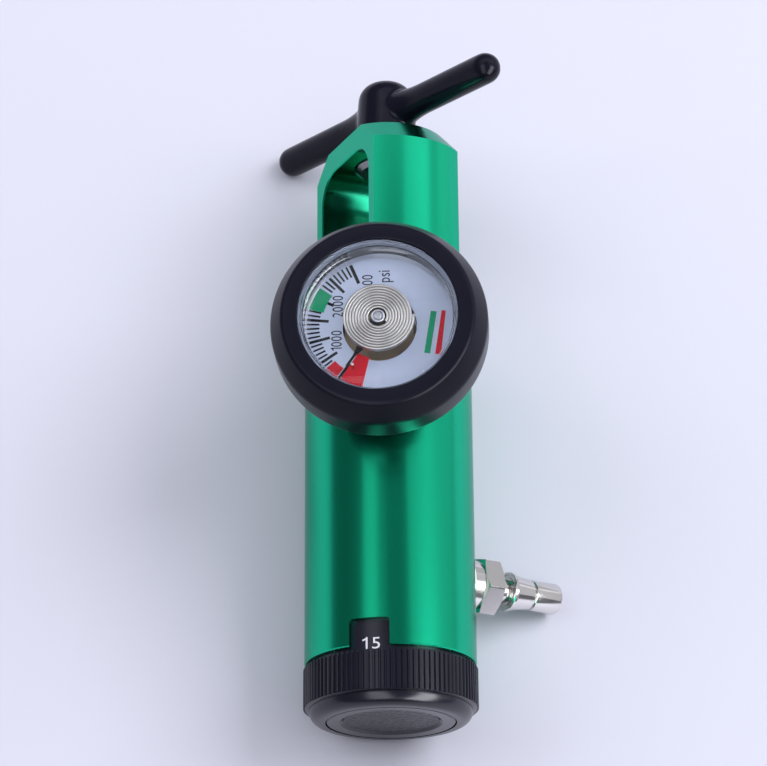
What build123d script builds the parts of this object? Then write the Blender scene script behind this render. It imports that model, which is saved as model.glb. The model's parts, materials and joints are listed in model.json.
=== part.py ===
from build123d import *
import math
import os

os.makedirs("parts", exist_ok=True)

# An oxygen regulator for pin-index cylinder valves: a yoke with a T-handled clamp screw, an inlet
# with index pins, a spring-and-piston pressure regulator, a contents gauge, a click-stop flow
# selector and a barbed outlet. Every piece is drawn upright: the body's axis is Z, from the
# selector's lower edge at Z 0 up to the T-handle, and the gauge faces -Y. Angles about the axis
# count from the gauge towards +X. The last section lays the finished regulator on a table.

# --- body ---
body_r = 19.0
cone_start = 120.2
top_face = 125.7
top_face_r = 14.1
flat_angle = -61.0
flat_half = 10.8
shoulder = 82.0
window_half = 12.8
window_top = 120.2
window_corner = 7.2
edge_break = 0.25

# --- bores of the body, from the selector end up ---
collar_bore_r = 17.85
collar_bore_top = 7.5
core_bore_r = 15.0
piston_bore_r = 12.0
piston_bore_base = 30.0
chamber_vent_z = 43.0
chamber_vent_r = 0.8
spring_ceiling = 50.0
stem_bore_r = 4.05
stem_bore_top = 60.0
nozzle_r = 3.2
nozzle_top = 65.0
passage_r = 1.5
inlet_thread_r = 5.0
inlet_thread_base = 75.0
ring_groove = 1.6
ring_groove_r = 15.85
gauge_port_base = 7.0
gauge_thread_r = 5.0
outlet_thread_r = 4.9
outlet_seat_r = 7.2

# --- inlet: nipple and index pins, positions 2 and 5 of the pin-index system ---
nipple_r = 3.5
nipple_top = 87.0
filter_r = 2.3
washer_r = 5.6
washer_thickness = 2.4
pin_circle_r = 14.3
pin_spread = 18.0
pin_r = 2.0
pin_root_r = 1.6
pin_height = 6.0
pin_depth = 6.0
pin_side = flat_angle + 180

# --- piston, shown open, resting on the flow core ---
piston_base = 30.05
piston_head_top = 36.0
piston_r = 11.95
stem_r = 4.0
stem_passage_r = 1.1
piston_seat_r = 2.2
seat_top = 58.9
seat_depth = 1.7
piston_groove = 32.2
piston_groove_r = 10.2
piston_groove_width = 2.0
stem_groove = 52.0
stem_groove_r = 2.9
stem_groove_width = 1.6
stem_tip_r = 3.2
stem_tip = 55.0
main_spring_r = 9.0
main_wire_r = 1.1
main_pitch = 3.3

# --- clamp screw, shown fully in ---
thread_r = 7.0
thread_root_r = 5.9
thread_pitch = 2.0
thread_clearance = 0.05
thread_end = 119.0
nose_r = 3.4
pad_tip = 106.8
pad_top = 111.45
nose_face = 111.6
swivel_pin_r = 2.0
head_r = 5.6
head_base = top_face + 0.2
head_top = 139.0
bar_z = 133.9
bar_angle = 46.0
bar_r = 2.7
bar_half = 33.6
coat = 0.8
hub_r = 7.0
hub_top = 141.6
hub_rounding = 4.2
crossing_fillet = 1.6

# --- pressure gauge; stations are distances from the body's axis ---
gauge_z = 68.7
gauge_seat = 18.3
gauge_seat_r = 20.6
case_r = 20.0
case_back = 21.5
dial_face = 29.6
dial_thickness = 0.6
dial_hole_r = 8.2
lens_back = 36.1
lens_front = 37.2
lens_skirt_r = 16.4
lens_foot_r = 15.2
boot_r = 23.86
boot_back = 20.4
boot_front = 37.8
opening_r = 17.6
boot_hole_r = 8.0
boot_rear_r = 20.6
boot_bulge = 24.8
boot_shoulder = 32.6
boot_lip_r = 21.0
coil_outer_r = 7.35
coil_inner_r = 1.5
coil_pitch = 0.6
coil_strip = 0.28
coil_height = 1.3
movement_top = 25.0
movement_r = 8.2
socket_shoulder_r = 5.6
socket_neck_r = 4.0
case_wall = 0.9
case_floor = 1.2
pointer_z = 32.4
pointer_blade = 6.5
pointer_needle = 9.6
pointer_length = 12.5
pointer_tail = 5.0
pointer_half = 0.95
pointer_tip_half = 0.25
pointer_boss_r = 2.0
pointer_thickness = 0.3
shaft_r = 0.5
zero_angle = 235.0
stop_angle = 4.5
stop_r = 11.5
stop_pin_r = 0.3

# --- outlet; stations are distances from the body's axis ---
outlet_angle = 125.2
outlet_z = 21.7
outlet_seat = 18.2
outlet_bore_r = 1.6
collar_start = 19.0
outlet_collar_r = 5.8
hex_across = 12.2
hex_rotation = 44.0
hex_start = 21.9
hex_end = 26.9
neck_r = 2.7
flange_start = 31.0
flange_r = 4.5
cone_foot = 31.9
cone_foot_r = 4.2
cone_end = 37.1
cone_end_r = 3.45
barb_groove_r = 3.2
nose_start = 37.5
nose_tip = 44.6
barb_nose_r = 3.55

# --- flow selector ---
clicks = 12
core_base = 10.0
core_top = 27.0
core_r = 14.95
core_rim_r = 11.4
upper_ring_z = 24.9
lower_ring_z = 18.3
port_r = 1.0
port_seal_r = 1.9
core_groove_r = 13.5
ring_half_width = 0.9
gallery_half_width = 1.5
orifice_circle_r = 8.0
disc_base = 27.2
disc_thickness = 2.0
disc_r = 10.8
largest_orifice_r = 0.8
spindle_r = 3.0
spindle_end = -6.0
spindle_top = 29.9
drive_r = 2.2
drive_flat = 1.7
clip_z = 29.25
clip_groove_r = 1.5
clip_groove_width = 0.45
spindle_groove = 22.2
spindle_groove_r = 2.1
spindle_groove_width = 1.4
screw_r = 1.25
square = 4.2
detent_circle_r = 10.6
ball_r = 1.5
ball_z = 10.93
pocket_top = 17.0
detent_top = 9.4
collar_top = 7.6
collar_r = 17.7
collar_recess_r = 14.4
collar_recess_top = 5.2
detent_plate_r = 12.6
knob_top = -1.1
knob_r = 19.25
rib_count = 96
rib_height = 0.4
rib_bottom = -9.7
knob_end = -12.8
shoulder_r = 18.0
shoulder_round = 2.6
cap_r = 14.3
cap_recess_r = 10.5
cap_recess = -11.9
cap_back = -11.2
knob_bore_r = 14.3
web_top = -4.0
web_bottom = -6.2

# --- relief valve in the flow core ---
relief_z = 14.0
relief_bore_r = 2.2
relief_seat = 7.0
relief_feed = 5.8
relief_spring_base = 9.6
relief_plug_base = 12.7
relief_vent_r = 1.2

# --- dial window in the body's lower edge ---
notch_angle = -10.8
notch_width = 9.0
notch_height = 6.0

upright = Plane.XZ
back = 180.0


def outwards(angle):
    """Unit vector square to the body's axis, at an angle from the gauge towards +X."""
    turn = math.radians(angle)
    return Vector(math.sin(turn), -math.cos(turn), 0)


def spot(angle, radius, height):
    """The point at an angle, a distance from the body's axis and a height."""
    return outwards(angle) * radius + Vector(0, 0, height)


def turning(angle, height):
    """Plane for turning a radial piece: its x is the radius, its y the station along the axis."""
    across = Vector(0, 0, 1)
    return Plane((0, 0, height), x_dir=across, z_dir=across.cross(outwards(angle)))


def station(angle, height, distance):
    """Plane across a radial piece, at a distance from the body's axis, facing outwards."""
    return Plane(spot(angle, distance, height), x_dir=(0, 0, 1), z_dir=outwards(angle))


bar_axis = outwards(bar_angle)
bar_section = Plane((0, 0, bar_z), x_dir=(0, 0, 1), z_dir=bar_axis)


def outline(plane, *points):
    """A closed outline of straight lines on a plane."""
    with BuildSketch(plane) as sketch:
        with BuildLine():
            Polyline(*points, close=True)
        make_face()
    return sketch.sketch


def lathe(plane, *points):
    """The solid that an outline of (radius, station) points sweeps about the plane's y axis."""
    with BuildPart() as turned:
        revolve(outline(plane, *points), axis=Axis(plane.origin, plane.y_dir))
    return turned.part


def seal_ring(centre_r, section_r, height):
    """An O-ring about the body's axis."""
    with BuildPart() as ring:
        with BuildSketch(upright):
            with Locations((centre_r, height)):
                Circle(section_r)
        revolve(axis=Axis.Z)
    return ring.part


def coil_spring(base, mean_r, wire_r, length, pitch):
    """A compression spring that stands on a plane, between its two end faces."""
    with BuildPart() as spring:
        with BuildLine(Plane.XY.offset(wire_r)) as path:
            Helix(pitch=pitch, height=length - 2 * wire_r, radius=mean_r)
        with BuildSketch(Plane(path.line @ 0, z_dir=path.line % 0)):
            Circle(wire_r)
        sweep(is_frenet=True)
    return spring.part.moved(base.location)


# ---------------------------------------------------------------- body

window_plane = Plane((0, 0, 0), x_dir=outwards(flat_angle + 90), z_dir=outwards(flat_angle))

with BuildPart() as yoke_body:
    blank = lathe(upright, (0, 0), (body_r, 0), (body_r, cone_start), (top_face_r, top_face), (0, top_face))
    add(blank)
    # the two flats of the yoke, down to the shoulder that the cylinder valve seats on
    with BuildSketch(window_plane):
        with Locations((0, shoulder + top_face / 2)):
            Rectangle(4 * body_r, top_face)
    extrude(amount=2 * body_r, both=True, mode=Mode.SUBTRACT)
    with BuildSketch(window_plane):
        with Locations((0, (shoulder + top_face) / 2)):
            Rectangle(2 * body_r, top_face - shoulder)
    cheeks = extrude(amount=flat_half, both=True, mode=Mode.PRIVATE)
    add(cheeks & blank)
    # the window that the cylinder valve goes through, with rounded upper corners
    with BuildSketch(window_plane):
        with BuildLine():
            FilletPolyline(
                (-window_half, shoulder),
                (-window_half, window_top),
                (window_half, window_top),
                (window_half, shoulder),
                radius=window_corner,
            )
            Line((window_half, shoulder), (-window_half, shoulder))
        make_face()
    extrude(amount=body_r, both=True, mode=Mode.SUBTRACT)
    # clamp screw hole, countersunk inside the window
    screw_bore_r = thread_r + thread_clearance
    countersink = 0.5
    add(
        lathe(
            upright,
            (0, window_top - 1),
            (screw_bore_r + countersink, window_top - 1),
            (screw_bore_r + countersink, window_top),
            (screw_bore_r, window_top + countersink),
            (screw_bore_r, top_face + 1),
            (0, top_face + 1),
        ),
        mode=Mode.SUBTRACT,
    )
    # the stepped bore from the selector up to the inlet
    add(
        lathe(
            upright,
            (0, 0),
            (collar_bore_r, 0),
            (collar_bore_r, collar_bore_top),
            (core_bore_r, collar_bore_top),
            (core_bore_r, piston_bore_base),
            (piston_bore_r, piston_bore_base),
            (piston_bore_r, spring_ceiling),
            (stem_bore_r, spring_ceiling),
            (stem_bore_r, stem_bore_top),
            (nozzle_r, stem_bore_top),
            (nozzle_r, nozzle_top),
            (passage_r, nozzle_top),
            (passage_r, inlet_thread_base),
            (inlet_thread_r, inlet_thread_base),
            (inlet_thread_r, shoulder),
            (0, shoulder),
        ),
        mode=Mode.SUBTRACT,
    )
    # groove of the ring that holds the flow core
    with BuildSketch(Plane.XY.offset(core_base - ring_groove)):
        Circle(ring_groove_r)
    extrude(amount=ring_groove, mode=Mode.SUBTRACT)
    # gauge seat and port, outlet seat and port
    with BuildSketch(station(0, gauge_z, gauge_seat)):
        Circle(gauge_seat_r)
    extrude(amount=body_r, mode=Mode.SUBTRACT)
    with BuildSketch(station(0, gauge_z, gauge_port_base)):
        Circle(gauge_thread_r)
    extrude(amount=body_r, mode=Mode.SUBTRACT)
    with BuildSketch(station(0, gauge_z, 0)):
        Circle(passage_r)
    extrude(amount=body_r, mode=Mode.SUBTRACT)
    with BuildSketch(station(outlet_angle, outlet_z, outlet_seat)):
        Circle(outlet_seat_r)
    extrude(amount=body_r, mode=Mode.SUBTRACT)
    with BuildSketch(station(outlet_angle, outlet_z, core_r - 1)):
        Circle(outlet_thread_r)
    extrude(amount=body_r, mode=Mode.SUBTRACT)
    # vents of the relief valve and of the spring chamber
    for height, vent_r in ((relief_z, relief_vent_r), (chamber_vent_z, chamber_vent_r)):
        with BuildSketch(station(back, height, piston_bore_r - 1)):
            Circle(vent_r)
        extrude(amount=body_r, mode=Mode.SUBTRACT)
    # the notch that shows the selected flow on the dial collar
    with BuildSketch(station(notch_angle, 0, core_bore_r - 0.5)):
        with BuildLine():
            FilletPolyline(
                (0, -notch_width / 2),
                (notch_height, -notch_width / 2),
                (notch_height, notch_width / 2),
                (0, notch_width / 2),
                radius=0.8,
            )
            Line((0, notch_width / 2), (0, -notch_width / 2))
        make_face()
    extrude(amount=body_r, mode=Mode.SUBTRACT)
    # holes of the index pins
    for side in (-pin_spread, pin_spread):
        with BuildSketch(Plane(spot(pin_side + side, pin_circle_r, shoulder))):
            Circle(pin_root_r)
        extrude(amount=-pin_depth, mode=Mode.SUBTRACT)
    # broken edges: the window's mouths and the lower rim
    flat_normal = outwards(flat_angle)
    window_mouths = yoke_body.edges().filter_by(
        lambda edge: abs(abs(edge.center().dot(flat_normal)) - flat_half) < 0.01
        and shoulder + 1 < edge.center().Z < window_top + 0.1
        and abs(edge.center().dot(window_plane.x_dir)) < window_half + 0.1
    )
    chamfer(window_mouths, edge_break)
    rim = yoke_body.edges().filter_by(
        lambda edge: abs(edge.center().Z) < 0.01 and edge.length > 5 and (edge @ 0).length > body_r - 0.1
    )
    chamfer(rim, edge_break)
yoke_body.part.label = "yoke_body"

with BuildPart() as index_pins:
    for side in (-pin_spread, pin_spread):
        with BuildSketch(Plane(spot(pin_side + side, pin_circle_r, shoulder - pin_depth))):
            Circle(pin_root_r)
        extrude(amount=pin_depth)
        with BuildSketch(Plane(spot(pin_side + side, pin_circle_r, shoulder))):
            Circle(pin_r)
        extrude(amount=pin_height)
    chamfer(index_pins.edges().group_by(Axis.Z)[-1], 0.5)
index_pins.part.label = "index_pins"

# ---------------------------------------------------------------- inlet

with BuildPart() as inlet_nipple:
    add(
        lathe(
            upright,
            (passage_r, inlet_thread_base + 0.2),
            (inlet_thread_r - 0.4, inlet_thread_base + 0.2),
            (inlet_thread_r, inlet_thread_base + 0.6),
            (inlet_thread_r, shoulder),
            (nipple_r, shoulder),
            (nipple_r, nipple_top - 0.6),
            (nipple_r - 0.6, nipple_top),
            (filter_r, nipple_top),
            (filter_r, shoulder - 1),
            (passage_r, shoulder - 1),
        )
    )
inlet_nipple.part.label = "inlet_nipple"

with BuildPart() as inlet_filter:
    add(
        lathe(
            upright,
            (0, shoulder - 1),
            (filter_r, shoulder - 1),
            (filter_r, nipple_top - 1.2),
            (filter_r - 0.7, nipple_top - 0.6),
            (0, nipple_top - 0.4),
        )
    )
inlet_filter.part.label = "inlet_filter"

with BuildPart() as inlet_washer:
    with BuildSketch(Plane.XY.offset(shoulder)):
        Circle(washer_r)
        Circle(nipple_r, mode=Mode.SUBTRACT)
    extrude(amount=washer_thickness)
    chamfer(inlet_washer.edges().group_by(Axis.Z)[-1], 0.3)
inlet_washer.part.label = "inlet_washer"

# ---------------------------------------------------------------- pressure regulator

lip_z = stem_bore_top - 0.6

with BuildPart() as nozzle:
    add(
        lathe(
            upright,
            (0.4, lip_z),
            (1.1, lip_z),
            (1.4, stem_bore_top),
            (nozzle_r, stem_bore_top),
            (nozzle_r, nozzle_top),
            (passage_r, nozzle_top),
            (0.4, stem_bore_top + 2),
        )
    )
nozzle.part.label = "nozzle"

with BuildPart() as piston:
    add(
        lathe(
            upright,
            (stem_passage_r, piston_base),
            (piston_r, piston_base),
            (piston_r, piston_groove),
            (piston_groove_r, piston_groove),
            (piston_groove_r, piston_groove + piston_groove_width),
            (piston_r, piston_groove + piston_groove_width),
            (piston_r, piston_head_top),
            (stem_r, piston_head_top),
            (stem_r, stem_groove),
            (stem_groove_r, stem_groove),
            (stem_groove_r, stem_groove + stem_groove_width),
            (stem_r, stem_groove + stem_groove_width),
            (stem_r, stem_tip),
            (stem_tip_r, stem_tip),
            (stem_tip_r, seat_top),
            (piston_seat_r, seat_top),
            (piston_seat_r, seat_top - seat_depth),
            (stem_passage_r, seat_top - seat_depth),
        )
    )
    # cross hole that lets the gas into the stem
    with BuildSketch(Plane.YZ):
        with Locations((0, stem_tip + 1)):
            Circle(stem_passage_r / 2)
    extrude(amount=stem_r, both=True, mode=Mode.SUBTRACT)
piston.part.label = "piston"

with BuildPart() as piston_seat:
    with BuildSketch(Plane.XY.offset(seat_top - seat_depth)):
        Circle(piston_seat_r)
    extrude(amount=seat_depth)
piston_seat.part.label = "piston_seat"

with BuildPart() as piston_ring:
    add(seal_ring(piston_r - 0.87, 0.86, piston_groove + piston_groove_width / 2))
piston_ring.part.label = "piston_ring"

with BuildPart() as stem_ring:
    add(seal_ring(stem_r - 0.55, 0.54, stem_groove + stem_groove_width / 2))
stem_ring.part.label = "stem_ring"

with BuildPart() as main_spring:
    spring_base = Plane.XY.offset(piston_head_top)
    add(coil_spring(spring_base, main_spring_r, main_wire_r, spring_ceiling - piston_head_top, main_pitch))
main_spring.part.label = "main_spring"

# ---------------------------------------------------------------- flow core

with BuildPart() as flow_core:
    add(
        lathe(
            upright,
            (spindle_r + 0.04, core_base),
            (core_r, core_base),
            (core_r, lower_ring_z - ring_half_width),
            (core_groove_r, lower_ring_z - ring_half_width),
            (core_groove_r, lower_ring_z + ring_half_width),
            (core_r, lower_ring_z + ring_half_width),
            (core_r, outlet_z - gallery_half_width),
            (core_groove_r, outlet_z - gallery_half_width),
            (core_groove_r, outlet_z + gallery_half_width),
            (core_r, outlet_z + gallery_half_width),
            (core_r, upper_ring_z - ring_half_width),
            (core_groove_r, upper_ring_z - ring_half_width),
            (core_groove_r, upper_ring_z + ring_half_width),
            (core_r, upper_ring_z + ring_half_width),
            (core_r, piston_bore_base),
            (core_rim_r, piston_bore_base),
            (core_rim_r, core_top),
            (spindle_r + 0.04, core_top),
        )
    )
    # metered port: down from the orifice disc, then out to the gallery behind the outlet
    with BuildSketch(Plane(spot(outlet_angle, orifice_circle_r, outlet_z))):
        Circle(port_r)
    extrude(amount=core_top - outlet_z, mode=Mode.SUBTRACT)
    with BuildSketch(Plane(spot(outlet_angle, orifice_circle_r, core_top))):
        Circle(port_seal_r)
    extrude(amount=-1, mode=Mode.SUBTRACT)
    with BuildSketch(station(outlet_angle, outlet_z, orifice_circle_r)):
        Circle(port_r)
    extrude(amount=core_r, mode=Mode.SUBTRACT)
    # relief bore, its seat and the passage that feeds it from under the piston
    with BuildSketch(station(back, relief_z, relief_seat)):
        Circle(relief_bore_r)
    extrude(amount=core_r, mode=Mode.SUBTRACT)
    with BuildSketch(station(back, relief_z, relief_feed)):
        Circle(0.9)
    extrude(amount=core_r, mode=Mode.SUBTRACT)
    with BuildSketch(Plane(spot(back, relief_feed, relief_z))):
        Circle(0.8)
    extrude(amount=core_top, mode=Mode.SUBTRACT)
    # pocket of the detent ball
    with BuildSketch(Plane(spot(0, detent_circle_r, core_base))):
        Circle(ball_r + 0.06)
    extrude(amount=pocket_top - core_base, mode=Mode.SUBTRACT)
flow_core.part.label = "flow_core"

with BuildPart() as core_ring_upper:
    add(seal_ring(core_r - 0.72, 0.71, upper_ring_z))
core_ring_upper.part.label = "core_ring_upper"

with BuildPart() as core_ring_lower:
    add(seal_ring(core_r - 0.72, 0.71, lower_ring_z))
core_ring_lower.part.label = "core_ring_lower"

with BuildPart() as port_seal:
    with BuildSketch(Plane(spot(outlet_angle, orifice_circle_r, core_top - 1))):
        Circle(port_seal_r)
        Circle(port_r, mode=Mode.SUBTRACT)
    extrude(amount=1.14)
port_seal.part.label = "port_seal"

with BuildPart() as retaining_ring:
    with BuildSketch(Plane.XY.offset(core_base - 1.5)):
        Circle(ring_groove_r - 0.05)
        Circle(ring_groove_r - 2.0, mode=Mode.SUBTRACT)
        with Locations(outwards(back) * core_bore_r):
            Rectangle(5, 6, mode=Mode.SUBTRACT)
        lugs = [outwards(back + side) * (ring_groove_r - 1.9) for side in (-15, 15)]
        with Locations(lugs):
            Circle(1.0)
            Circle(0.45, mode=Mode.SUBTRACT)
    extrude(amount=1.5)
retaining_ring.part.label = "retaining_ring"

with BuildPart() as relief_poppet:
    add(
        lathe(
            turning(back, relief_z),
            (0, relief_seat - 0.5),
            (0.5, relief_seat - 0.5),
            (0.8, relief_seat + 0.05),
            (relief_bore_r - 0.05, relief_seat + 0.05),
            (relief_bore_r - 0.05, relief_spring_base),
            (0, relief_spring_base),
        )
    )
relief_poppet.part.label = "relief_poppet"

with BuildPart() as relief_spring:
    relief_base = station(back, relief_z, relief_spring_base)
    add(coil_spring(relief_base, 1.5, 0.3, relief_plug_base - relief_spring_base, 0.9))
relief_spring.part.label = "relief_spring"

with BuildPart() as relief_plug:
    with BuildSketch(station(back, relief_z, relief_plug_base)):
        Circle(relief_bore_r)
        RegularPolygon(1.1, 6, mode=Mode.SUBTRACT)
    extrude(amount=2.1)
relief_plug.part.label = "relief_plug"

with BuildPart() as detent_ball:
    with BuildSketch(Plane.XZ.offset(detent_circle_r)):
        with BuildLine():
            CenterArc((0, ball_z), ball_r, -90, 180)
            Line((0, ball_z + ball_r), (0, ball_z - ball_r))
        make_face()
    revolve(axis=Axis(spot(0, detent_circle_r, 0), (0, 0, 1)))
detent_ball.part.label = "detent_ball"

with BuildPart() as detent_spring:
    detent_base = Plane(spot(0, detent_circle_r, ball_z + 1.15))
    add(coil_spring(detent_base, 1.1, 0.25, pocket_top - ball_z - 1.15, 0.9))
detent_spring.part.label = "detent_spring"

# ---------------------------------------------------------------- flow selector, turning as one

with BuildPart() as spindle:
    add(
        lathe(
            upright,
            (0, spindle_end),
            (spindle_r, spindle_end),
            (spindle_r, spindle_groove),
            (spindle_groove_r, spindle_groove),
            (spindle_groove_r, spindle_groove + spindle_groove_width),
            (spindle_r, spindle_groove + spindle_groove_width),
            (spindle_r, disc_base),
            (drive_r, disc_base),
            (drive_r, clip_z),
            (clip_groove_r, clip_z),
            (clip_groove_r, clip_z + clip_groove_width),
            (drive_r, clip_z + clip_groove_width),
            (drive_r, spindle_top),
            (0, spindle_top),
        )
    )
    with BuildSketch(Plane.XY.offset(spindle_end)):
        Circle(2 * spindle_r)
        Rectangle(square, square, mode=Mode.SUBTRACT)
    extrude(amount=detent_top - spindle_end, mode=Mode.SUBTRACT)
    with BuildSketch(Plane.XY.offset(disc_base)):
        Circle(2 * spindle_r)
        Rectangle(2 * drive_flat, 3 * spindle_r, mode=Mode.SUBTRACT)
    extrude(amount=spindle_top - disc_base, mode=Mode.SUBTRACT)
    with BuildSketch(Plane.XY.offset(spindle_end)):
        Circle(screw_r)
    extrude(amount=8, mode=Mode.SUBTRACT)
spindle.part.label = "spindle"

with BuildPart() as spindle_ring:
    add(seal_ring(spindle_r - 0.44, 0.44, spindle_groove + spindle_groove_width / 2))
spindle_ring.part.label = "spindle_ring"

with BuildPart() as orifice_disc:
    with BuildSketch(Plane.XY.offset(disc_base)):
        Circle(disc_r)
        with BuildSketch(mode=Mode.PRIVATE) as drive_hole:
            Circle(drive_r)
            Rectangle(2 * drive_flat, 3 * spindle_r, mode=Mode.INTERSECT)
        add(drive_hole.sketch, mode=Mode.SUBTRACT)
        # one orifice for each flow, smaller and smaller from the largest; the last click is off
        for click in range(clicks - 1):
            with Locations(spot(outlet_angle + click * 360 / clicks, orifice_circle_r, 0)):
                Circle(largest_orifice_r * (1 - click / clicks), mode=Mode.SUBTRACT)
    extrude(amount=disc_thickness)
orifice_disc.part.label = "orifice_disc"

with BuildPart() as spindle_clip:
    with BuildSketch(Plane.XY.offset(clip_z)):
        Circle(3.4)
        Circle(clip_groove_r, mode=Mode.SUBTRACT)
        with Locations((0, -3)):
            Rectangle(1.8, 6, mode=Mode.SUBTRACT)
    extrude(amount=0.4)
spindle_clip.part.label = "spindle_clip"

with BuildPart() as detent_plate:
    with BuildSketch(Plane.XY.offset(collar_top)):
        Circle(detent_plate_r)
        Rectangle(square, square, mode=Mode.SUBTRACT)
        for click in range(clicks):
            with Locations(spot(click * 360 / clicks, detent_circle_r, 0)):
                Circle(1.1, mode=Mode.SUBTRACT)
    extrude(amount=detent_top - collar_top)
detent_plate.part.label = "detent_plate"

with BuildPart() as dial_collar:
    add(
        lathe(
            upright,
            (0, collar_recess_top),
            (collar_recess_r, collar_recess_top),
            (collar_recess_r, knob_top),
            (collar_r, knob_top),
            (collar_r, collar_top - 0.6),
            (detent_plate_r, collar_top - 0.6),
            (detent_plate_r, collar_top),
            (0, collar_top),
        )
    )
    with BuildSketch():
        Rectangle(square, square)
    extrude(amount=collar_top, mode=Mode.SUBTRACT)
dial_collar.part.label = "dial_collar"

with BuildPart() as knob_shell:
    root_r = knob_r - rib_height
    with BuildSketch(upright):
        with BuildLine():
            Polyline(
                (0, web_top),
                (knob_bore_r, web_top),
                (knob_bore_r, knob_top),
                (root_r, knob_top),
                (root_r, rib_bottom),
                (shoulder_r, rib_bottom - 0.3),
                (shoulder_r, knob_end + shoulder_round),
            )
            RadiusArc(
                (shoulder_r, knob_end + shoulder_round),
                (shoulder_r - shoulder_round, knob_end),
                shoulder_round,
            )
            Polyline(
                (shoulder_r - shoulder_round, knob_end),
                (cap_r + 0.1, knob_end),
                (cap_r + 0.1, cap_back),
                (cap_r - 1.5, cap_back),
                (cap_r - 1.5, web_bottom),
                (0, web_bottom),
                (0, web_top),
            )
        make_face()
    revolve(axis=Axis.Z)
    with BuildSketch(Plane.XY.offset(web_bottom)):
        Rectangle(square, square)
    extrude(amount=web_top - web_bottom, mode=Mode.SUBTRACT)
    # the ribs that the fingers turn the knob by
    pitch = 2 * math.pi * knob_r / rib_count
    with BuildSketch(Plane.XY.offset(rib_bottom)):
        with PolarLocations(root_r, rib_count):
            with Locations((rib_height / 2 - 0.1, 0)):
                Trapezoid(0.66 * pitch, rib_height + 0.2, 62, rotation=-90)
    extrude(amount=knob_top - rib_bottom)
knob_shell.part.label = "knob_shell"

with BuildPart() as knob_washer:
    with BuildSketch(Plane.XY.offset(web_bottom - 0.5)):
        Circle(4.5)
        Circle(screw_r + 0.3, mode=Mode.SUBTRACT)
    extrude(amount=0.5)
knob_washer.part.label = "knob_washer"

with BuildPart() as knob_screw:
    add(
        lathe(
            upright,
            (0, web_bottom - 2.4),
            (2.2, web_bottom - 2.4),
            (2.8, web_bottom - 1.8),
            (2.8, web_bottom - 0.5),
            (screw_r, web_bottom - 0.5),
            (screw_r, spindle_end + 7),
            (0, spindle_end + 7.6),
        )
    )
    with BuildSketch(Plane.XY.offset(web_bottom - 2.4)):
        RegularPolygon(1.3, 6)
    extrude(amount=1.2, mode=Mode.SUBTRACT)
knob_screw.part.label = "knob_screw"

with BuildPart() as knob_cap:
    with BuildSketch(upright):
        with BuildLine():
            Polyline(
                (0, cap_back),
                (cap_r, cap_back),
                (cap_r, knob_end + 0.5),
            )
            RadiusArc((cap_r, knob_end + 0.5), (cap_r - 0.6, knob_end), 0.6)
            Polyline(
                (cap_r - 0.6, knob_end),
                (cap_recess_r + 0.8, knob_end + 0.1),
                (cap_recess_r, cap_recess - 0.2),
                (cap_recess_r, cap_recess),
                (0, cap_recess),
                (0, cap_back),
            )
        make_face()
    revolve(axis=Axis.Z)
knob_cap.part.label = "knob_cap"

with BuildPart() as knob_badge:
    with BuildSketch(Plane.XY.offset(cap_recess - 0.3)):
        Circle(cap_recess_r - 0.1)
    extrude(amount=0.3)
knob_badge.part.label = "knob_badge"

# ---------------------------------------------------------------- outlet

with BuildPart() as outlet_washer:
    with BuildSketch(station(outlet_angle, outlet_z, outlet_seat)):
        Circle(6.2)
        Circle(outlet_thread_r, mode=Mode.SUBTRACT)
    extrude(amount=collar_start - outlet_seat)
outlet_washer.part.label = "outlet_washer"

with BuildPart() as outlet_fitting:
    outlet_lathe = turning(outlet_angle, outlet_z)
    add(
        lathe(
            outlet_lathe,
            (outlet_bore_r, core_r + 0.4),
            (outlet_thread_r - 0.4, core_r + 0.4),
            (outlet_thread_r, core_r + 0.8),
            (outlet_thread_r, collar_start),
            (outlet_collar_r, collar_start),
            (outlet_collar_r, hex_start),
            (neck_r, hex_start),
            (neck_r, flange_start),
            (flange_r, flange_start),
            (flange_r, cone_foot),
            (cone_foot_r, cone_foot),
            (cone_end_r, cone_end),
            (barb_groove_r, cone_end),
            (barb_groove_r, nose_start),
            (barb_nose_r, nose_start),
            (barb_nose_r, nose_tip - 0.4),
            (barb_nose_r - 0.4, nose_tip),
            (outlet_bore_r, nose_tip),
        )
    )
    # the hexagon, turned so that a corner faces the gauge's side, with both ends chamfered
    with BuildSketch(station(outlet_angle, outlet_z, hex_start)):
        RegularPolygon(hex_across / 2, 6, major_radius=False, rotation=hex_rotation)
        Circle(outlet_bore_r, mode=Mode.SUBTRACT)
    hexagon = extrude(amount=hex_end - hex_start, mode=Mode.PRIVATE)
    corner_r = hex_across / math.sqrt(3)
    ends = lathe(
        outlet_lathe,
        (0, hex_start),
        (hex_across / 2 - 0.1, hex_start),
        (corner_r, hex_start + 0.6),
        (corner_r, hex_end - 0.6),
        (hex_across / 2 - 0.1, hex_end),
        (0, hex_end),
    )
    add(hexagon & ends)
outlet_fitting.part.label = "outlet_fitting"

# ---------------------------------------------------------------- gauge

gauge_lathe = turning(0, gauge_z)
coil_top = lens_back - 0.4

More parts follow.
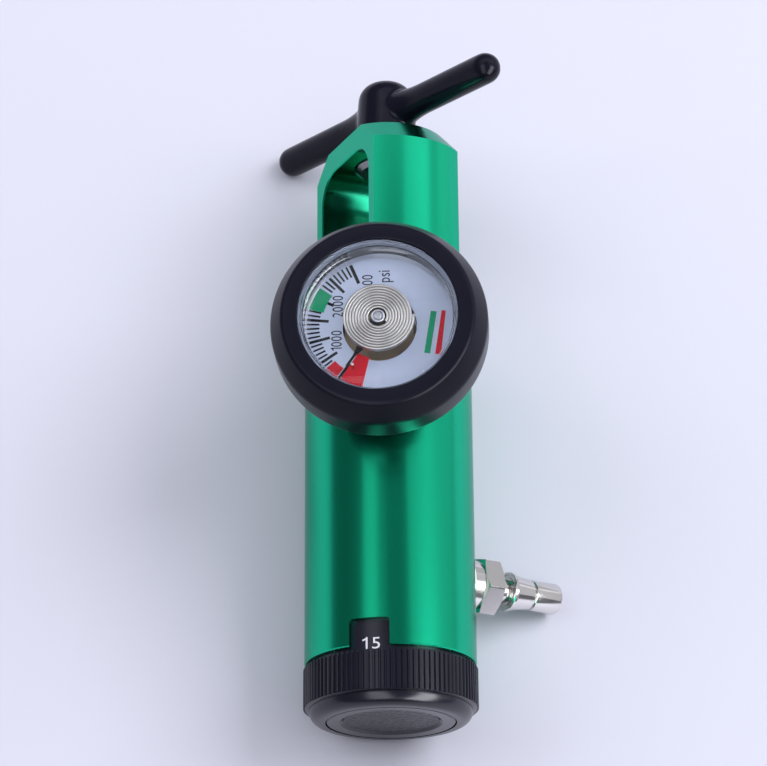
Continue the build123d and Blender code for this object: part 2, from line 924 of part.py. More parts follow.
with BuildPart() as gauge_socket:
    add(
        lathe(
            gauge_lathe,
            (0, gauge_port_base + 0.3),
            (gauge_thread_r - 0.5, gauge_port_base + 0.3),
            (gauge_thread_r, gauge_port_base + 0.8),
            (gauge_thread_r, gauge_seat),
            (socket_shoulder_r, gauge_seat),
            (socket_shoulder_r, case_back - 1.2),
            (socket_neck_r, case_back - 1.2),
            (socket_neck_r, case_back + case_floor),
            (movement_r, case_back + case_floor),
            (movement_r, movement_top),
            (0, movement_top),
        )
    )
    with BuildSketch(station(0, gauge_z, gauge_port_base)):
        Circle(0.8)
    extrude(amount=movement_top - gauge_port_base - 2.5, mode=Mode.SUBTRACT)
    with BuildSketch(station(0, gauge_z, movement_top)):
        Circle(0.55)
    extrude(amount=-2, mode=Mode.SUBTRACT)
gauge_socket.part.label = "gauge_socket"

with BuildPart() as gauge_case:
    add(
        lathe(
            gauge_lathe,
            (socket_neck_r + 0.05, case_back),
            (case_r, case_back),
            (case_r, lens_front - 0.1),
            (case_r - case_wall, lens_front - 0.1),
            (case_r - case_wall, dial_face - dial_thickness),
            (case_r - 2 * case_wall, dial_face - dial_thickness),
            (case_r - 2 * case_wall, case_back + case_floor),
            (socket_neck_r + 0.05, case_back + case_floor),
        )
    )
gauge_case.part.label = "gauge_case"

with BuildPart() as gauge_dial:
    with BuildSketch(station(0, gauge_z, dial_face - dial_thickness)):
        Circle(case_r - 1.0)
        Circle(dial_hole_r, mode=Mode.SUBTRACT)
    extrude(amount=dial_thickness)
gauge_dial.part.label = "gauge_dial"

with BuildPart() as gauge_lens:
    with BuildSketch(gauge_lathe):
        with BuildLine():
            Polyline(
                (0, lens_back),
                (lens_skirt_r, lens_back),
                (lens_foot_r, dial_face),
                (case_r - 1.0, dial_face),
                (case_r - 1.0, lens_front - 0.6),
                (case_r - 1.6, lens_front),
                (0, lens_front),
                (0, lens_back),
            )
        make_face()
    revolve(axis=Axis(gauge_lathe.origin, gauge_lathe.y_dir))
gauge_lens.part.label = "gauge_lens"

with BuildPart() as gauge_boot:
    with BuildSketch(gauge_lathe):
        with BuildLine():
            Polyline(
                (boot_hole_r, case_back),
                (boot_hole_r, boot_back),
                (boot_rear_r, boot_back),
            )
            RadiusArc((boot_rear_r, boot_back), (boot_r, boot_bulge), -4.6)
            Polyline(
                (boot_r, boot_bulge),
                (boot_r, boot_shoulder),
                (boot_r - 0.76, boot_shoulder + 1.4),
                (boot_lip_r + 0.5, boot_front - 0.5),
                (boot_lip_r, boot_front),
                (opening_r + 0.5, boot_front),
                (opening_r, lens_front + 0.3),
                (opening_r, lens_front),
                (case_r, lens_front),
                (case_r, case_back),
                (boot_hole_r, case_back),
            )
        make_face()
    revolve(axis=Axis(gauge_lathe.origin, gauge_lathe.y_dir))
gauge_boot.part.label = "gauge_boot"

# the pointer at zero, seen from the front, with its tail on the other side of the shaft
zero_turn = math.radians(zero_angle)
zero_way = Vector(math.cos(zero_turn), 0, math.sin(zero_turn))
pointer_plane = Plane((0, -pointer_z, gauge_z), x_dir=zero_way, z_dir=(0, -1, 0))

with BuildPart() as pointer_shaft:
    add(
        lathe(
            gauge_lathe,
            (0, movement_top - 1.8),
            (shaft_r, movement_top - 1.8),
            (shaft_r, pointer_z),
            (coil_inner_r - 0.2, pointer_z),
            (coil_inner_r - 0.2, coil_top - 0.1),
            (0.8, coil_top + 0.2),
            (0, coil_top + 0.2),
        )
    )
pointer_shaft.part.label = "pointer_shaft"

with BuildPart() as pointer:
    with BuildSketch(pointer_plane):
        with BuildLine():
            Polyline(
                (-pointer_tail, -pointer_half),
                (pointer_blade, -pointer_half),
                (pointer_needle, -pointer_tip_half),
                (pointer_length, -pointer_tip_half),
                (pointer_length, pointer_tip_half),
                (pointer_needle, pointer_tip_half),
                (pointer_blade, pointer_half),
                (-pointer_tail, pointer_half),
                close=True,
            )
        make_face()
        Circle(pointer_boss_r)
        Circle(shaft_r, mode=Mode.SUBTRACT)
    extrude(amount=-pointer_thickness)
pointer.part.label = "pointer"

with BuildPart() as zero_stop:
    # a pin in the dial, just past the pointer's zero
    stop_turn = math.radians(zero_angle + stop_angle)
    with BuildSketch(Plane((0, -dial_face, gauge_z), x_dir=(1, 0, 0), z_dir=(0, -1, 0))):
        with Locations((stop_r * math.cos(stop_turn), stop_r * math.sin(stop_turn))):
            Circle(stop_pin_r)
    extrude(amount=pointer_z - dial_face + 0.2)
zero_stop.part.label = "zero_stop"

with BuildPart() as bourdon_coil:
    # a flat spiral of half circles, each a half pitch larger than the last
    with BuildSketch(Plane((0, -coil_top, gauge_z), x_dir=(1, 0, 0), z_dir=(0, -1, 0))):
        with BuildLine(mode=Mode.PRIVATE) as spiral:
            radius = coil_inner_r
            centre = 0.0
            side = 1
            while radius < coil_outer_r:
                CenterArc((centre, 0), radius, 0 if side > 0 else 180, 180)
                centre -= side * coil_pitch / 2
                side = -side
                radius += coil_pitch / 2
        trace(spiral.line, coil_strip)
    extrude(amount=-coil_height)
    # the leg that feeds the coil through the hole of the dial
    leg_x = spiral.line.bounding_box().max.X
    with BuildSketch(Plane((leg_x, -movement_top, gauge_z), x_dir=(1, 0, 0), z_dir=(0, -1, 0))):
        Circle(0.4)
    extrude(amount=coil_top - movement_top)
bourdon_coil.part.label = "bourdon_coil"

# ---------------------------------------------------------------- clamp

with BuildPart() as clamp_pad:
    add(
        lathe(
            upright,
            (0, pad_tip),
            (2.2, pad_tip),
            (nose_r, pad_tip + 2.3),
            (nose_r, pad_top),
            (swivel_pin_r + 0.05, pad_top),
            (swivel_pin_r + 0.05, pad_tip + 1.3),
            (0, pad_tip + 1.3),
        )
    )
clamp_pad.part.label = "clamp_pad"

with BuildPart() as clamp_screw:
    add(
        lathe(
            upright,
            (0, pad_tip + 1.4),
            (swivel_pin_r, pad_tip + 1.4),
            (swivel_pin_r, nose_face),
            (nose_r, nose_face),
            (nose_r, thread_end - 0.7),
            (thread_root_r, thread_end),
            (thread_r, thread_end + 1.0),
            (thread_r, head_base),
            (head_r, head_base),
            (head_r, head_top),
            (0, head_top),
        )
    )
    # ring grooves stand for the thread
    for turn in range(int((head_base - thread_end) / thread_pitch)):
        crest = thread_end + 1.4 + turn * thread_pitch
        add(
            lathe(
                upright,
                (thread_r, crest),
                (thread_r, crest + 1.4),
                (thread_root_r, crest + 0.8),
                (thread_root_r, crest + 0.6),
            ),
            mode=Mode.SUBTRACT,
        )
    with BuildSketch(bar_section):
        Circle(bar_r)
    extrude(amount=2 * head_r, both=True, mode=Mode.SUBTRACT)
clamp_screw.part.label = "clamp_screw"

with BuildPart() as handle_bar:
    with BuildSketch(bar_section):
        Circle(bar_r)
    extrude(amount=bar_half, both=True)
    chamfer(handle_bar.edges(), 0.4)
handle_bar.part.label = "handle_bar"

with BuildPart() as handle_coating:
    # dipped skin over the screw's head and the bar, rounded where they cross and at the ends
    with BuildSketch(Plane.XY.offset(head_base)):
        Circle(hub_r)
    extrude(amount=hub_top - head_base)
    fillet(handle_coating.edges().group_by(Axis.Z)[-1], hub_rounding)
    with BuildSketch(bar_section):
        Circle(bar_r + coat)
    extrude(amount=bar_half, both=True)
    crossing = handle_coating.edges(Select.NEW).filter_by_position(
        Axis(bar_section.origin, bar_axis), -hub_r - 1, hub_r + 1
    )
    fillet(crossing, crossing_fillet)
    with Locations(*[bar_axis * side * bar_half + Vector(0, 0, bar_z) for side in (-1, 1)]):
        Sphere(bar_r + coat)
    with BuildSketch(Plane.XY.offset(head_base)):
        Circle(head_r)
    extrude(amount=head_top - head_base, mode=Mode.SUBTRACT)
    with BuildSketch(bar_section):
        Circle(bar_r)
    extrude(amount=bar_half, both=True, mode=Mode.SUBTRACT)
handle_coating.part.label = "handle_coating"

# ---------------------------------------------------------------- the finished regulator, lying down

pieces = [
    yoke_body, index_pins, inlet_nipple, inlet_filter, inlet_washer,
    nozzle, piston, piston_seat, piston_ring, stem_ring, main_spring,
    flow_core, core_ring_upper, core_ring_lower, port_seal, retaining_ring,
    relief_poppet, relief_spring, relief_plug, detent_ball, detent_spring,
    spindle, spindle_ring, orifice_disc, spindle_clip, detent_plate, dial_collar,
    knob_shell, knob_washer, knob_screw, knob_cap, knob_badge,
    outlet_washer, outlet_fitting,
    gauge_socket, gauge_case, gauge_dial, gauge_lens, gauge_boot,
    pointer_shaft, pointer, zero_stop, bourdon_coil,
    clamp_pad, clamp_screw, handle_bar, handle_coating,
]


def lowest(centre, axis, radius, up):
    """The lowest point of a circle, given its centre, its axis and the way up."""
    down = axis * up.dot(axis) - up
    return centre + down.normalized() * radius


def table_plane():
    """The table under the regulator: it touches the T-bar's end, the outlet's nose and the knob."""
    bar_end = spot(bar_angle, -bar_half, bar_z)
    nose = outwards(outlet_angle)
    nose_centre = nose * (nose_tip - 0.4) + Vector(0, 0, outlet_z)
    knob_centre = Vector(0, 0, rib_bottom)
    up = outwards(0)
    for _ in range(30):
        on_bar = bar_end - up * (bar_r + coat)
        on_nose = lowest(nose_centre, nose, barb_nose_r, up)
        on_knob = lowest(knob_centre, Vector(0, 0, 1), knob_r, up)
        up = (on_bar - on_knob).cross(on_nose - on_knob).normalized()
        if up.Y > 0:
            up = -up
    sideways = Vector(0, 0, 1).cross(up).normalized()
    return Plane(on_knob, x_dir=sideways, z_dir=up)


lying = table_plane().location.inverse()
box = Compound([piece.part.moved(lying) for piece in pieces]).bounding_box()
resting = Location((-box.center().X, -box.center().Y, -box.min.Z)) * lying

for piece in pieces:
    piece.part.move(resting)
    export_step(piece.part, f"parts/{piece.part.label}.step")
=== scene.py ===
import json
import math

import bmesh
import bpy
from mathutils import Matrix, Vector


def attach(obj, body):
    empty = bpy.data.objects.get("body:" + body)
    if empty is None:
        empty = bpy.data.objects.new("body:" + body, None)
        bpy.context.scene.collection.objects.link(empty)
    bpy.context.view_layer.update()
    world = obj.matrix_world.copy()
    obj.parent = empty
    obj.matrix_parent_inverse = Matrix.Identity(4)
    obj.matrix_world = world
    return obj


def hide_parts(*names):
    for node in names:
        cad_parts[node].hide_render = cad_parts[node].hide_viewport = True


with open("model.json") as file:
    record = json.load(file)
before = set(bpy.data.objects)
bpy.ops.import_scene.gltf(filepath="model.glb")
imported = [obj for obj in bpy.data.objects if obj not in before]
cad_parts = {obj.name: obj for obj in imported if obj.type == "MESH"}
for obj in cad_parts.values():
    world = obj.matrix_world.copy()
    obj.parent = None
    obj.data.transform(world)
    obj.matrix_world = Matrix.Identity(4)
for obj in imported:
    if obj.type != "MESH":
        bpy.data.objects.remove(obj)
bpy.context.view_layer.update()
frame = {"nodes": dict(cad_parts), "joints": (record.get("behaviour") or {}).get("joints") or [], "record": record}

# A pin-index oxygen regulator lying on its back. All lengths are in millimetres until they are
# placed: MM turns them into Blender's metres. "Along" is the distance up the body's axis from the
# green body's lower edge, and angles about that axis count from the gauge towards the outlet.
MM = 0.001
nodes = frame["nodes"]
joints = {joint["name"]: joint for joint in frame["joints"]}

# ---------------------------------------------------------------- the regulator's own directions

axis = Vector(joints["clamp_turn"]["axis"])
front = -Vector(joints["gauge_sweep"]["axis"])
right = axis.cross(front)
knob_rib_bottom = -9.7          # along the body, where the flow selector's joint stands
base = Vector(joints["flow_select"]["pos_m"]) - axis * knob_rib_bottom * MM
gauge_along = (Vector(joints["gauge_sweep"]["pos_m"]) - base).dot(axis) / MM


def outwards(degrees):
    """Direction square to the body's axis, at an angle from the gauge."""
    turn = math.radians(degrees)
    return front * math.cos(turn) + right * math.sin(turn)


def placed(x_way, y_way, z_way, origin):
    """Matrix from a piece's own millimetres to the row frame's metres."""
    turn = Matrix((x_way, y_way, z_way)).transposed().to_4x4()
    return Matrix.Translation(origin) @ turn @ Matrix.Scale(MM, 4)


# the ways of a piece made about the body's axis, about the gauge's, and about the outlet's
UPRIGHT = placed(right, -front, axis, base)
GAUGE = placed(right, axis, front, base + axis * gauge_along * MM)
outlet_angle, outlet_along = 125.2, 21.7
outlet_way = outwards(outlet_angle)
OUTLET = placed(axis, outlet_way.cross(axis), outlet_way, base + axis * outlet_along * MM)

# ---------------------------------------------------------------- camera and light


camera_swing = -4.7                                     # degrees round the body from the gauge
camera_place = (-13.651, -160.979, 605.725)             # aside, along the body and out from it
camera_tilt, camera_yaw, camera_roll = 0.3594, -0.0194, 0.0006      # radians
camera_lens, camera_sensor = 133.06, 36


def turned_frame(across, lift, back, place):
    """Matrix of an object from its own X, Y and Z directions and its place."""
    return Matrix.Translation(place) @ Matrix((across, lift, back)).transposed().to_4x4()


def make_camera():
    """Stands at the foot of the table, looking up the body and down at the gauge."""
    swing = math.radians(camera_swing)
    out = front * math.cos(swing) - right * math.sin(swing)
    side = axis.cross(out)
    aside, along, away = camera_place
    place = base + (side * aside + axis * along + out * away) * MM
    look = axis * math.sin(camera_tilt) - out * math.cos(camera_tilt)
    lift = side.cross(look)
    yaw = Matrix.Rotation(camera_yaw, 3, lift)
    look, across = yaw @ look, yaw @ side
    roll = Matrix.Rotation(camera_roll, 3, look)
    across, lift = roll @ across, roll @ lift
    camera = bpy.data.objects.new("camera", bpy.data.cameras.new("camera"))
    camera.data.lens = camera_lens
    camera.data.sensor_width = camera_sensor
    camera.matrix_world = turned_frame(across, lift, -look, place)
    bpy.context.scene.collection.objects.link(camera)
    bpy.context.scene.camera = camera


make_camera()

lamp_colour = (0.93, 0.95, 1.0)
lamp_target = Vector((0, 0, 0.03))          # the middle of the regulator, in metres


def add_area(name, way, distance, width, length, power, mirrored=True, lights=True):
    """A soft rectangular lamp that looks at the regulator, its length along the body's axis.

    Way is the lamp's direction: degrees right of straight up, then degrees towards the handle.
    A lamp that isn't mirrored only lights, and one that doesn't light is only mirrored."""
    swing, lean = map(math.radians, way)
    flat = Vector((math.sin(swing), 0, math.cos(swing)))
    place = (flat * math.cos(lean) + Vector((0, math.sin(lean), 0))) * distance + lamp_target
    lamp = bpy.data.lights.new(name, "AREA")
    lamp.shape = "RECTANGLE"
    lamp.size, lamp.size_y = width, length
    lamp.energy = power
    lamp.color = lamp_colour
    light = bpy.data.objects.new(name, lamp)
    out = place.normalized()
    side = Vector((0, 1, 0)).cross(out).normalized()
    light.matrix_world = turned_frame(side, out.cross(side), out, place)
    light.visible_glossy = mirrored
    light.visible_diffuse = lights
    bpy.context.scene.collection.objects.link(light)


def light_studio():
    """A dim room with soft boxes that the metal mirrors, and three lamps that it doesn't."""
    bpy.context.scene.view_settings.view_transform = "Standard"
    world = bpy.data.worlds.new("studio")
    bpy.context.scene.world = world
    world.use_nodes = True
    background = world.node_tree.nodes["Background"]
    background.inputs["Color"].default_value = (0.84, 0.87, 1.0, 1)
    background.inputs["Strength"].default_value = 0.15
    add_area("left_strip", (-33, 16), 0.9, 0.30, 0.9, 0.56)
    add_area("right_box", (53, 8), 0.9, 1.22, 0.9, 1.8)
    add_area("head_box", (14, 38), 0.9, 1.3, 0.5, 1.75)
    add_area("side_box", (84, 44), 0.9, 0.5, 0.7, 0.5, lights=False)
    add_area("left_window", (-26, -32), 0.9, 0.45, 1.1, 4.0, lights=False)
    add_area("right_window", (46, -32), 0.9, 0.45, 1.1, 13.0, lights=False)
    add_area("left_key", (-50, 10), 2.2, 1.4, 1.4, 17.5, mirrored=False)
    add_area("right_key", (40, 15), 2.2, 1.4, 1.4, 32.0, mirrored=False)
    add_area("fill", (0, -10), 2.0, 2.4, 2.4, 16.5, mirrored=False)


light_studio()

# ---------------------------------------------------------------- materials


MIX_A, MIX_B, MIX_RESULT = 6, 7, 2          # the Mix node's colour sockets

# The painted shade on the walls of the yoke's window lies in a box: its middle along the body, the direction that
# the window goes through it, and half of its depth, its width and its length.
window_angle, window_middle = -61.0, 101.35
window_cheek, window_wall, window_half_length = 10.45, 12.9, 19.05


class Paint:
    """A Principled material with a few procedural nodes hung on it."""

    def __init__(self, name, colour, roughness, metallic=0.0, **sockets):
        self.material = bpy.data.materials.new(name)
        self.material.use_nodes = True
        self.tree = self.material.node_tree
        self.shader = self.tree.nodes["Principled BSDF"]
        self.shader.inputs["Base Color"].default_value = (*colour, 1)
        self.shader.inputs["Roughness"].default_value = roughness
        self.shader.inputs["Metallic"].default_value = metallic
        for socket, value in sockets.items():
            self.shader.inputs[socket.replace("_", " ")].default_value = value
        self.colour = colour
        self.place = self.node("ShaderNodeTexCoord").outputs["Object"]

    def node(self, kind, **inputs):
        """A new node with its inputs fed."""
        made = self.tree.nodes.new(kind)
        for socket, value in inputs.items():
            self.feed(made.inputs[socket.replace("_", " ")], value)
        return made

    def feed(self, socket, value):
        """Links an output to a socket, or sets the socket to a value."""
        if isinstance(value, bpy.types.NodeSocket):
            self.tree.links.new(value, socket)
        else:
            socket.default_value = value

    def worked(self, kind, operation, *values):
        """The result of a Math or Vector Math node."""
        made = self.node(kind)
        made.operation = operation
        for socket, value in zip(made.inputs, values):
            self.feed(socket, value)
        return made.outputs["Vector" if operation == "SUBTRACT" else "Value"]

    def mixed(self, factor, one, other):
        """A colour that goes from one to the other with the factor."""
        blend = self.node("ShaderNodeMix", Factor=factor)
        blend.data_type = "RGBA"
        self.feed(blend.inputs[MIX_A], one)
        self.feed(blend.inputs[MIX_B], other)
        return blend.outputs[MIX_RESULT]

    def noise(self, scale, detail=4.0):
        """Noise in the row frame; the scale is in features per metre."""
        return self.node("ShaderNodeTexNoise", Vector=self.place, Scale=scale, Detail=detail).outputs["Fac"]

    def vary_roughness(self, value, low, high):
        """Roughness from low to high as the value goes from 0 to 1."""
        ranged = self.node("ShaderNodeMapRange", Value=value, To_Min=low, To_Max=high)
        self.feed(self.shader.inputs["Roughness"], ranged.outputs["Result"])

    def vary_colour(self, value, other):
        """Colour from the paint's own to the other as the value goes from 0 to 1."""
        mixed = self.mixed(value, (*self.colour, 1), (*other, 1))
        self.feed(self.shader.inputs["Base Color"], mixed)

    def paint_window_shade(self, share):
        """Painted shade: less colour on the walls of the yoke's window, above its seat, in place of the shade that
        falls inside it.
        """
        middle = base + axis * window_middle * MM
        from_middle = self.worked("ShaderNodeVectorMath", "SUBTRACT", self.place, middle)
        inside = None
        for way, limit in (
            (outwards(window_angle), window_cheek),
            (outwards(window_angle + 90), window_wall),
            (axis, window_half_length),
        ):
            along = self.worked("ShaderNodeVectorMath", "DOT_PRODUCT", from_middle, way)
            size = self.worked("ShaderNodeMath", "ABSOLUTE", along)
            below = self.worked("ShaderNodeMath", "LESS_THAN", size, limit * MM)
            if inside is None:
                inside = below
            else:
                inside = self.worked("ShaderNodeMath", "MULTIPLY", inside, below)
        base_colour = self.shader.inputs["Base Color"]
        # the colour of the painted shade on the window's walls
        dark = (*(part * share for part in self.colour), 1)
        self.feed(base_colour, self.mixed(inside, base_colour.links[0].from_socket, dark))

    def bump(self, height, strength, distance):
        """Bump of a height between 0 and 1; the distance is in millimetres."""
        made = self.node("ShaderNodeBump", Height=height, Strength=strength, Distance=distance * MM)
        self.feed(self.shader.inputs["Normal"], made.outputs["Normal"])


def anodised_green():
    """Satin anodised aluminium, a little cloudy in its colour, with painted shade inside the yoke's window."""
    paint = Paint(
        "anodised_green", (0.006, 0.50, 0.26), 0.25, 1.0,
        Coat_Weight=0.15, Coat_Roughness=0.2, Specular_Tint=(0.6, 0.65, 0.7, 1),
    )
    paint.vary_colour(paint.noise(25.0, 1.0), (0.006, 0.475, 0.245))
    # painted shade: a darker green on the window's walls, standing in for the shade inside it
    paint.paint_window_shade(0.35)
    return paint.material


def clear_cover():
    """Clear plastic that hardly mirrors the room."""
    return Paint(
        "clear", (0.97, 0.98, 1.0), 0.03, 0.0,
        Transmission_Weight=1.0, IOR=1.3, Specular_IOR_Level=0.05,
    ).material


def metal(name, colour, roughness, marks=900.0, depth=0.01):
    """Machined or plated metal: fine marks, and patches that are a little darker."""
    paint = Paint(name, colour, roughness, 1.0)
    grain = paint.noise(marks, 3.0)
    paint.vary_roughness(grain, roughness * 0.8, roughness * 1.25)
    paint.vary_colour(paint.noise(120.0), tuple(c * 0.88 for c in colour))
    paint.bump(grain, 0.12, depth)
    return paint.material


def moulded(name, colour, roughness, grain=2600.0, depth=0.02, strength=0.25, **sockets):
    """Moulded plastic or rubber: a fine grain and a faint change of gloss."""
    paint = Paint(name, colour, roughness, 0.0, **sockets)
    fine = paint.noise(grain, 2.0)
    paint.vary_roughness(paint.noise(180.0), roughness * 0.88, roughness * 1.12)
    paint.vary_colour(paint.noise(90.0), tuple(c * 1.25 + 0.001 for c in colour))
    paint.bump(fine, strength, depth)
    return paint.material


METALS = {
    "brass": dict(colour=(0.72, 0.50, 0.20), roughness=0.28),
    "sintered_bronze": dict(colour=(0.50, 0.32, 0.16), roughness=0.55, marks=3500.0, depth=0.12),
    "steel": dict(colour=(0.62, 0.62, 0.63), roughness=0.24),
    "spring_steel": dict(colour=(0.42, 0.43, 0.46), roughness=0.3),
    "chrome": dict(colour=(0.76, 0.73, 0.71), roughness=0.14, marks=500.0, depth=0.004),
    "coil_silver": dict(colour=(0.42, 0.40, 0.385), roughness=0.34, marks=400.0, depth=0.0005),
    "dull_brass": dict(colour=(0.33, 0.25, 0.17), roughness=0.42),
    "screw_steel": dict(colour=(0.30, 0.30, 0.31), roughness=0.28),
}
NEAR_BLACK = (0.006, 0.006, 0.013)
PLASTICS = {
    "black_plastic": dict(colour=(0.006, 0.006, 0.014), roughness=0.24, depth=0.006),
    "black_gloss": dict(colour=(0.006, 0.006, 0.014), roughness=0.16, depth=0.004),
    "black_dip": dict(
        colour=NEAR_BLACK, roughness=0.2, grain=300.0, depth=0.05, strength=0.12, Specular_IOR_Level=0.15,
    ),
    "black_rubber": dict(
        colour=NEAR_BLACK, roughness=0.3, grain=3200.0, depth=0.008, strength=0.15,
        Specular_IOR_Level=0.12, Sheen_Weight=0.12, Sheen_Roughness=0.2,
    ),
    "seal_rubber": dict(colour=(0.01, 0.01, 0.01), roughness=0.5),
    "white_nylon": dict(colour=(0.80, 0.79, 0.74), roughness=0.45),
    "dial_white": dict(colour=(0.38, 0.43, 0.56), roughness=0.45, depth=0.004),
    "pointer_black": dict(
        colour=(0.004, 0.004, 0.006), roughness=0.6, depth=0.003, Specular_IOR_Level=0.05,
    ),
    "badge_grain": dict(
        colour=(0.009, 0.009, 0.017), roughness=0.3, grain=900.0, depth=0.8, strength=1.0,
    ),
    "print_green": dict(colour=(0.004, 0.24, 0.11), roughness=0.6, depth=0.003, Specular_IOR_Level=0.1),
    "print_red": dict(colour=(0.50, 0.001, 0.012), roughness=0.6, depth=0.003, Specular_IOR_Level=0.1),
    "print_white": dict(colour=(0.62, 0.62, 0.66), roughness=0.5, depth=0.003),
}
PAINTS = {
    "anodised_green": anodised_green(),
    "clear": clear_cover(),
    **{name: metal(name, **look) for name, look in METALS.items()},
    **{name: moulded(name, **look) for name, look in PLASTICS.items()},
}
# CAD nodes that don't look quite like the rest of their slot
REPAINTED = {
    "knob_badge": "badge_grain",
    "gauge_socket": "dull_brass",
    "clamp_pad": "screw_steel",
    "clamp_screw": "screw_steel",
}

for part in frame["record"]["subparts"]:
    for slot in nodes[part["node"]].material_slots:
        slot.material = PAINTS[REPAINTED.get(part["node"], part["material_slot"])]

# ---------------------------------------------------------------- making meshes


def add_piece(name, mesh, slot, body, replaced=(), paint=None, sharp=32):
    """Puts a finished mesh on its body, with its material, in place of some CAD nodes."""
    mesh.shade_smooth()
    mesh.set_sharp_from_angle(angle=math.radians(sharp))
    piece = bpy.data.objects.new(name, mesh)
    bpy.context.scene.collection.objects.link(piece)
    mesh.materials.clear()
    mesh.materials.append(PAINTS[paint or slot])
    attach(piece, body)
    if replaced:
        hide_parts(*replaced)


def finished(name, work, matrix):
    """A mesh in the row frame from a bmesh in a piece's own millimetres."""
    bmesh.ops.recalc_face_normals(work, faces=work.faces)
    mesh = bpy.data.meshes.new(name)
    work.to_mesh(mesh)
    work.free()
    mesh.transform(matrix)
    return mesh


def rounded(points, steps=6):
    """An outline with its corners rounded: each point is (x, y) or (x, y, corner radius)."""
    made = []
    for index, point in enumerate(points):
        corner = Vector(point[:2])
        if len(point) < 3:
            made.append(corner)
            continue
        before = (Vector(points[index - 1][:2]) - corner).normalized()
        after = (Vector(points[(index + 1) % len(points)][:2]) - corner).normalized()
        half = before.angle(after) / 2
        centre = corner + (before + after).normalized() * point[2] / math.sin(half)
        start = corner + before * point[2] / math.tan(half) - centre
        end = corner + after * point[2] / math.tan(half) - centre
        for step in range(steps + 1):
            made.append(centre + start.slerp(end, step / steps).normalized() * point[2])
    return made


def turned(name, rings, matrix, segments=192, closed=True):
    """A turned piece from a loop of rings. A ring is (radius, height), and either may be a function
    of the angle. A ring of radius 0 is a single point at the piece's axis."""
    work = bmesh.new()
    loops = []
    for radius, height in rings:
        if radius == 0:
            loops.append([work.verts.new((0, 0, height))] * segments)
            continue
        loop = []
        for step in range(segments):
            turn = 2 * math.pi * step / segments
            r = radius(turn) if callable(radius) else radius
            z = height(turn) if callable(height) else height
            loop.append(work.verts.new((r * math.cos(turn), r * math.sin(turn), z)))
        loops.append(loop)
    pairs = list(zip(loops, loops[1:]))
    if closed:
        pairs.append((loops[-1], loops[0]))
    for one, two in pairs:
        for step in range(segments):
            after = (step + 1) % segments
            corners = []
            for vert in (one[step], one[after], two[after], two[step]):
                if vert not in corners:
                    corners.append(vert)
            if len(corners) > 2:
                work.faces.new(corners)
    return finished(name, work, matrix)


def evaluated(rough):
    """The mesh that an object makes with its modifiers; the object is removed."""
    bpy.context.view_layer.update()
    mesh = bpy.data.meshes.new_from_object(rough.evaluated_get(bpy.context.evaluated_depsgraph_get()))
    bpy.data.objects.remove(rough)
    return mesh


def prism(work, outline, low, high):
    """A flat shape raised from one height to another, added to a bmesh."""
    floor = [work.verts.new((x, y, low)) for x, y in outline]
    roof = [work.verts.new((x, y, high)) for x, y in outline]
    work.faces.new(floor)
    work.faces.new(roof)
    for index in range(len(outline)):
        after = (index + 1) % len(outline)
        work.faces.new((floor[index], floor[after], roof[after], roof[index]))


def sector(inner, outer, start, end, steps=10):
    """Outline of part of a ring, its angles in degrees."""
    turns = [math.radians(start + (end - start) * step / steps) for step in range(steps + 1)]
    out = [(outer * math.cos(turn), outer * math.sin(turn)) for turn in turns]
    back = [(inner * math.cos(turn), inner * math.sin(turn)) for turn in reversed(turns)]
    return out + back


def stroke(angle, inner, outer, width):
    """Outline of a straight tick along a radius."""
    turn = math.radians(angle)
    way = Vector((math.cos(turn), math.sin(turn)))
    side = Vector((-way.y, way.x)) * width / 2
    return [way * inner - side, way * outer - side, way * outer + side, way * inner + side]


LETTER_SIZE, LETTER_HALF = 10, 0.5          # the font's size and half the letters' thickness
CAP_HEIGHT = 7.3                            # at that size
ONE = [(0, 0), (0.95, 0), (0.95, 7.2), (0.25, 7.2), (-0.2, 6.5), (-1.7, 5.8), (-1.7, 4.9), (0, 5.5)]


def glyph(letter):
    """One letter as a bmesh, before scaling, from Z 0 to 1. The numeral one gets a flag."""
    work = bmesh.new()
    if letter == "1":
        prism(work, ONE, 0, 1)
    else:
        curve = bpy.data.curves.new("lettering", "FONT")
        curve.body = letter
        curve.size = LETTER_SIZE
        curve.extrude = LETTER_HALF
        curve.resolution_u = 4
        sample = bpy.data.objects.new("lettering", curve)
        bpy.context.scene.collection.objects.link(sample)
        work.from_mesh(evaluated(sample))
        for vert in work.verts:
            vert.co.z += LETTER_HALF
    bmesh.ops.remove_doubles(work, verts=work.verts, dist=1e-4)
    bmesh.ops.triangulate(work, faces=work.faces)
    return work


def lettering(text, height, stretch, gap=0.9):
    """A number or a word in millimetres, centred on the origin, from Z 0 to 1."""
    cursor = 0.0
    works = []
    for letter in text:
        work = glyph(letter)
        left = min(vert.co.x for vert in work.verts)
        for vert in work.verts:
            vert.co.x += cursor - left
        cursor = max(vert.co.x for vert in work.verts) + gap
        works.append(work)
    work = joined(works)
    centre_x = (cursor - gap) / 2
    centre_y = CAP_HEIGHT / 2
    if text.isalpha():
        heights = [vert.co.y for vert in work.verts]
        centre_y = (min(heights) + max(heights)) / 2
    scale = height / CAP_HEIGHT
    for vert in work.verts:
        vert.co.x = (vert.co.x - centre_x) * scale * stretch
        vert.co.y = (vert.co.y - centre_y) * scale
    return work


def joined(works):
    """One bmesh from several."""
    whole = bmesh.new()
    for work in works:
        part = bpy.data.meshes.new("part")
        work.to_mesh(part)
        work.free()
        whole.from_mesh(part)
        bpy.data.meshes.remove(part)
    return whole


# ---------------------------------------------------------------- gauge

# heights above the body's axis, towards the gauge's front
case_seat, dial_face, coil_top, lens_front = 21.5, 29.6, 35.7, 37.2
# the scale runs clockwise from zero_angle, which counts from the outlet's side towards the handle
zero_angle, sweep, full_reading = 235.0, 122.7, 3000


